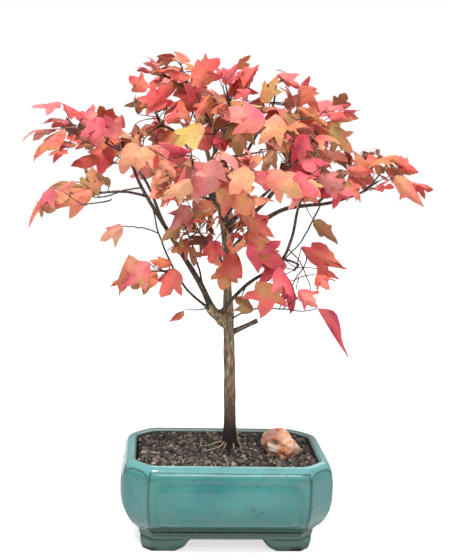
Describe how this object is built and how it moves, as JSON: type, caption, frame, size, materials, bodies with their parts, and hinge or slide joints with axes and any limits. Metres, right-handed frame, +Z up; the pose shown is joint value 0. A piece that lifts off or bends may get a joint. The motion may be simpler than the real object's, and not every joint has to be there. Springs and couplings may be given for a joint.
{
  "type": "potted bonsai tree",
  "caption": "Small upright maple tree with three-lobed autumn leaves, in a glazed rectangular footed pot with cut corners, a soil bed and a stone.",
  "frame": {"origin": "on the ground plane, under the middle of the whole plant's bounding box", "axes": "+Z up along the trunk, +X to the viewer's right along the pot's long side, -Y towards the viewer"},
  "size_m": [0.4928, 0.3564, 0.5979],
  "materials": {
    "glaze": "gloss",
    "soil": "matte",
    "stone": "matte",
    "bark": "matte",
    "coral_leaves": "matte",
    "crimson_leaves": "matte",
    "orange_leaves": "matte",
    "olive_leaves": "matte"
  },
  "bodies": {
    "root": {"back_bough": "bark", "back_left_bough": "bark", "back_right_bough": "bark", "back_top_bough": "bark", "front_bough": "bark", "front_right_bough": "bark", "leaves_back_left": "coral_leaves", "leaves_back_low": "olive_leaves", "leaves_back_right": "orange_leaves", "leaves_back_top": "crimson_leaves", "leaves_front": "crimson_leaves", "leaves_left_back": "orange_leaves", "leaves_left_crown": "olive_leaves", "leaves_left_front": "coral_leaves", "leaves_left_high": "coral_leaves", "leaves_left_low": "crimson_leaves", "leaves_left_middle": "coral_leaves", "leaves_low_front": "olive_leaves", "leaves_low_left": "orange_leaves", "leaves_low_right": "crimson_leaves", "leaves_right_back": "coral_leaves", "leaves_right_far": "olive_leaves", "leaves_right_front": "crimson_leaves", "leaves_right_high": "olive_leaves", "leaves_right_middle": "orange_leaves", "leaves_top": "crimson_leaves", "leaves_top_front": "orange_leaves", "leaves_top_left": "coral_leaves", "leaves_top_right": "orange_leaves", "left_back_bough": "bark", "left_bough": "bark", "left_crown_bough": "bark", "left_front_bough": "bark", "left_low_bough": "bark", "left_middle_bough": "bark", "low_front_bough": "bark", "low_left_bough": "bark", "low_right_bough": "bark", "pot": "glaze", "right_back_bough": "bark", "right_bough": "bark", "right_front_bough": "bark", "right_upper_bough": "bark", "soil": "soil", "stone": "stone", "stub": "bark", "top_bough": "bark", "top_front_bough": "bark", "top_right_bough": "bark", "trunk": "bark"}
  },
  "joints": []
}
